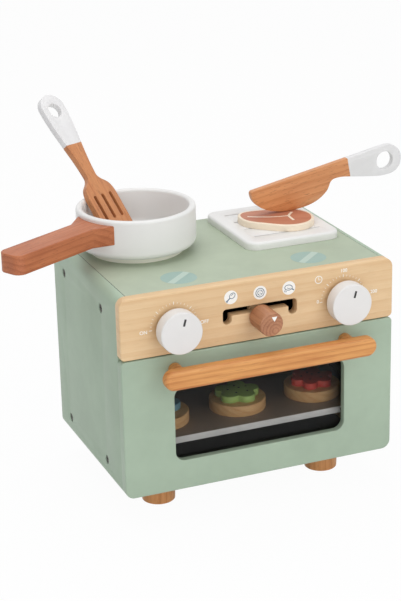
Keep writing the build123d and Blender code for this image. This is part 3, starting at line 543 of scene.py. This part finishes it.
class Print:
    """Flat artwork in mm, laid on a face of one body."""

    def __init__(self):
        self.work = bmesh.new()

    def disc(self, x, y, radius, segments=40):
        bmesh.ops.create_circle(self.work, cap_ends=True, segments=segments, radius=radius,
                                matrix=Matrix.Translation((x, y, 0)))

    def bar(self, x, y, length, width, turn=0):
        place = Matrix.Translation((x, y, 0)) @ Matrix.Rotation(math.radians(turn), 4, "Z")
        bmesh.ops.create_grid(self.work, x_segments=1, y_segments=1, size=0.5,
                              matrix=place @ Matrix.Diagonal((length, width, 1, 1)))

    def spoke(self, x, y, inner, outer, width, angle):
        """A bar that points away from a centre."""
        middle, turn = (inner + outer) / 2, math.radians(angle)
        self.bar(x + middle * math.cos(turn), y + middle * math.sin(turn), outer - inner, width, angle)

    def add(self, data, change):
        """Joins in a curve or a text, made a mesh and then moved or flattened."""
        shown = bpy.data.objects.new("artwork", data)
        bpy.context.scene.collection.objects.link(shown)
        bpy.context.view_layer.update()
        mesh = bpy.data.meshes.new_from_object(shown.evaluated_get(bpy.context.evaluated_depsgraph_get()))
        mesh.transform(change)
        self.work.from_mesh(mesh)
        bpy.data.objects.remove(shown)
        bpy.data.meshes.remove(mesh)

    def line(self, points, width, closed=False):
        """A pen line, as thin on the face as paint."""
        curve = bpy.data.curves.new("pen", "CURVE")
        curve.dimensions = "3D"
        curve.bevel_depth = width / 2
        curve.bevel_resolution = 1
        curve.use_fill_caps = True
        run = curve.splines.new("POLY")
        run.points.add(len(points) - 1)
        for spot, (x, y) in zip(run.points, points):
            spot.co = (x, y, 0, 1)
        run.use_cyclic_u = closed
        self.add(curve, Matrix.Diagonal((1, 1, PEN_THICKNESS / width, 1)))

    def letters(self, text, x, y):
        curve = bpy.data.curves.new("letters", "FONT")
        curve.body = text
        curve.size = LETTER_HEIGHT * 1.4
        curve.align_x = "CENTER"
        curve.align_y = "CENTER"
        curve.offset = 0.02 * LETTER_HEIGHT
        self.add(curve, Matrix.Translation((x, y, 0)))

    def lay(self, name, place, body, material):
        """Makes the artwork a piece, with its flat sheets facing out."""
        flat = [face for face in self.work.faces if abs(face.normal.z) > 0.999 and face.normal.z < 0
                and abs(face.calc_center_median().z) < 0.001]
        bmesh.ops.reverse_faces(self.work, faces=flat)
        self.work.transform(place)
        piece(name, self.work, body, [material])


cabinet_body = body_of("fascia")

# Scales round the dials, their words and the clock
scale_print = Print()
for dial_x in (-DIAL_X, DIAL_X):
    for step in range(21):
        if step % 5 == 0:
            scale_print.spoke(dial_x, DIAL_Z, 19.6, 22.2, 0.55, step * 9)
        else:
            scale_print.spoke(dial_x, DIAL_Z, 20.0, 21.5, 0.32, step * 9)
for word, x, z in (("ON", -104.6, 176), ("OFF", -50.5, 177), ("0", 53.5, 177.8), ("100", 78, 202.3),
                   ("200", 106.8, 179)):
    scale_print.letters(word, x, z)
scale_print.line(oval(54.3, 197.6, 6.4, 6.4), 0.6, closed=True)
scale_print.line([(54.3, 199.8), (54.3, 197.4), (56.0, 197.4)], 0.55)
scale_print.lay("fascia_scales", on_front(FRONT), cabinet_body, white_print)

# Food pictures over the selector's slot
discs = Print()
for x in PICTURE_XS:
    discs.disc(x, PICTURE_Z, 6.0)
discs.lay("picture_discs", on_front(FRONT), cabinet_body, white_print)
pictures = Print()
pictures.line(oval(-25.2, 195.9, 5.6, 4.2, 40), 0.6, closed=True)
pictures.line([(-27.2, 194.2), (-29.6, 192.0)], 1.0)
pictures.line(oval(-30.0, 191.5, 1.2, 1.2, steps=10), 0.7, closed=True)
pictures.line(oval(-25.0, 196.2, 2.6, 1.4, 40, 20, 150, 8), 0.45)
pictures.line(oval(0, PICTURE_Z, 7.6, 7.6), 0.65, closed=True)
pictures.line(oval(0, PICTURE_Z, 4.6, 4.6), 0.4, closed=True)
for x, z in ((-1.1, 195.6), (1.0, 195.9), (0.1, 194.2), (-1.2, 193.6), (1.3, 193.7)):
    pictures.disc(x, z, 0.42, 10)
pictures.line(oval(26.2, 195.1, 7.0, 4.6, -8), 0.6, closed=True)
pictures.line([(29.0, 193.8), (31.2, 192.2)], 0.9)
pictures.line([(23.2, 193.6), (22.4, 191.8), (24.6, 191.6)], 0.6)
pictures.line(oval(26.6, 195.2, 3.4, 2.0, -8, 200, 340, 8), 0.45)
pictures.lay("food_pictures", on_front(FRONT - PROUD), cabinet_body, blue_print)

# Pointers on the dials and the selector
for word, dial_x in (("left", -DIAL_X), ("right", DIAL_X)):
    pointer = Print()
    pointer.spoke(dial_x, DIAL_Z, 6.5, 12.6, 1.9, 75)
    pointer.lay(f"{word}_dial_pointer", on_front(DIAL_FACE), body_of(f"{word}_dial"), black_print)
arrow = Print()
arrow.disc(0, 0, 2.9, 3)
arrow.work.transform(Matrix.Translation((2.4, 179.2, 0)) @ Matrix.Rotation(math.pi, 4, "Z"))
arrow.lay("selector_arrow", on_front(PEG_FACE), body_of("selector_knob"), white_print)

# Ring marks painted in front of the burner and the grill
for word, x in (("left", -HOB_MARK_X), ("right", HOB_MARK_X)):
    mark = Print()
    mark.disc(x, HOB_MARK_Y, HOB_MARK_RADIUS, 64)
    mark.lay(f"{word}_hob_mark", on_top(HOB_TOP), cabinet_body, ring_print)
    stripe = Print()
    stripe.bar(x, HOB_MARK_Y, 30.6, 6.0, 42.6)
    stripe.lay(f"{word}_hob_stripe", on_top(HOB_TOP + PROUD), cabinet_body, stripe_print)

# Bone of the steak
bone = Print()
bone.line([(43.5, 37.4), (52.0, 32.0), (61.3, 27.3), (70.0, 24.9), (78.0, 23.8)], 2.0)
bone.line([(85.4, 32.6), (81.6, 28.4), (78.0, 23.8), (77.2, 17.5), (76.8, 10.0)], 2.4)
bone.lay("steak_bone", on_top(STEAK_TOP), body_of("steak"), bone_cream)

# Dots on the toppings
for word in topping_paint:
    low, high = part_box(f"{word}_topping")
    x, y, top = [(a + b) / 2 / MM for a, b in zip(low[:2], high[:2])] + [high[2] / MM]
    dots = Print()
    for angle, away in ((20, 9), (95, 8), (165, 9.5), (235, 8.5), (310, 9), (60, 3)):
        dots.disc(x + away * math.cos(math.radians(angle)), y + away * math.sin(math.radians(angle)), 1.0, 16)
    dots.lay(f"{word}_topping_dots", on_top(top), body_of(f"{word}_topping"), black_print)


# ---------------------------------------------------------------- studio


def camera():
    """The camera of the photograph, from its fitted angles, distance and focal length."""
    azimuth, elevation, roll = (math.radians(a) for a in (-21.77, 20.08, -1.38))
    distance, focal, middle = 1.417, 1722.0, (199.95, 297.54)  # metres, and pixels of a frame 401 wide and 601 high
    target = Vector((-0.05407, -0.087, 0.19893))
    back = Vector((math.sin(azimuth) * math.cos(elevation), -math.cos(azimuth) * math.cos(elevation),
                   math.sin(elevation)))
    right = (-back).cross(Vector((0, 0, 1))).normalized()
    up = right.cross(-back)
    across = right * math.cos(roll) + up * math.sin(roll)
    upward = up * math.cos(roll) - right * math.sin(roll)
    data = bpy.data.cameras.new("camera")
    data.sensor_width = 36
    data.lens = focal * 36 / 601
    data.shift_x = (200.5 - middle[0]) / 601
    data.shift_y = (middle[1] - 300.5) / 601
    data.clip_start, data.clip_end = 0.05, 50
    made = bpy.data.objects.new("camera", data)
    bpy.context.scene.collection.objects.link(made)
    axes = Matrix((across, upward, back)).transposed()
    made.matrix_world = Matrix.Translation(target + back * distance) @ axes.to_4x4()
    bpy.context.scene.camera = made


def softbox(name, spot, aim, size, power):
    """A rectangular lamp at a spot, turned to an aim."""
    data = bpy.data.lights.new(name, "AREA")
    data.shape = "RECTANGLE"
    data.size, data.size_y = size
    data.energy = power
    made = bpy.data.objects.new(name, data)
    bpy.context.scene.collection.objects.link(made)
    made.location = spot
    made.rotation_euler = (Vector(aim) - Vector(spot)).to_track_quat("-Z", "Y").to_euler()


def seen_directly(tree):
    """1 where the camera, or a reflection or a clear pane, looks straight at the surface."""
    rays = tree.nodes.new("ShaderNodeLightPath")
    total = rays.outputs["Is Camera Ray"]
    for name in ("Is Glossy Ray", "Is Transmission Ray"):
        add = tree.nodes.new("ShaderNodeMath")
        add.operation = "MAXIMUM"
        tree.links.new(total, add.inputs[0])
        tree.links.new(rays.outputs[name], add.inputs[1])
        total = add.outputs["Value"]
    return total


def studio():
    """A white backdrop and floor that keep the object's shadow, and four soft lamps."""
    world = bpy.data.worlds.new("studio")
    bpy.context.scene.world = world
    world.use_nodes = True
    tree = world.node_tree
    plain = tree.nodes["Background"]
    plain.inputs["Color"].default_value = (0.93, 0.96, 1.0, 1)
    plain.inputs["Strength"].default_value = 0.48
    white = tree.nodes.new("ShaderNodeBackground")
    white.inputs["Color"].default_value = (1, 1, 1, 1)
    white.inputs["Strength"].default_value = 1.0
    mix = tree.nodes.new("ShaderNodeMixShader")
    tree.links.new(seen_directly(tree), mix.inputs["Fac"])
    tree.links.new(plain.outputs[0], mix.inputs[1])
    tree.links.new(white.outputs[0], mix.inputs[2])
    tree.links.new(mix.outputs[0], tree.nodes["World Output"].inputs["Surface"])

    floor = bmesh.new()
    bmesh.ops.create_grid(floor, x_segments=1, y_segments=1, size=6.0)
    mesh = bpy.data.meshes.new("floor")
    floor.to_mesh(mesh)
    floor.free()
    made = bpy.data.objects.new("floor", mesh)
    bpy.context.scene.collection.objects.link(made)
    material = bpy.data.materials.new("floor_paper")
    material.use_nodes = True
    tree = material.node_tree
    paper = tree.nodes["Principled BSDF"]
    paper.inputs["Base Color"].default_value = (0.86, 0.86, 0.86, 1)
    paper.inputs["Roughness"].default_value = 0.9
    glow = tree.nodes.new("ShaderNodeEmission")
    glow.inputs["Strength"].default_value = 1.0
    share = tree.nodes.new("ShaderNodeMath")
    share.operation = "MULTIPLY"
    share.inputs[1].default_value = 0.96
    tree.links.new(seen_directly(tree), share.inputs[0])
    mix = tree.nodes.new("ShaderNodeMixShader")
    tree.links.new(share.outputs[0], mix.inputs["Fac"])
    tree.links.new(paper.outputs[0], mix.inputs[1])
    tree.links.new(glow.outputs[0], mix.inputs[2])
    tree.links.new(mix.outputs[0], tree.nodes["Material Output"].inputs["Surface"])
    mesh.materials.append(material)

    softbox("key", (0.7, -1.7, 1.3), (0, 0, 0.15), (1.4, 1.4), 11)
    softbox("fill", (-1.5, -1.1, 0.8), (0, 0, 0.12), (1.4, 1.4), 2.5)
    softbox("low", (-0.2, -1.9, 0.35), (0, 0, 0.1), (1.6, 0.5), 5.5)
    softbox("above", (-0.1, 0.3, 1.7), (0, 0, 0.15), (1.4, 1.4), 12)


camera()
studio()
bpy.context.scene.view_settings.view_transform = "Standard"
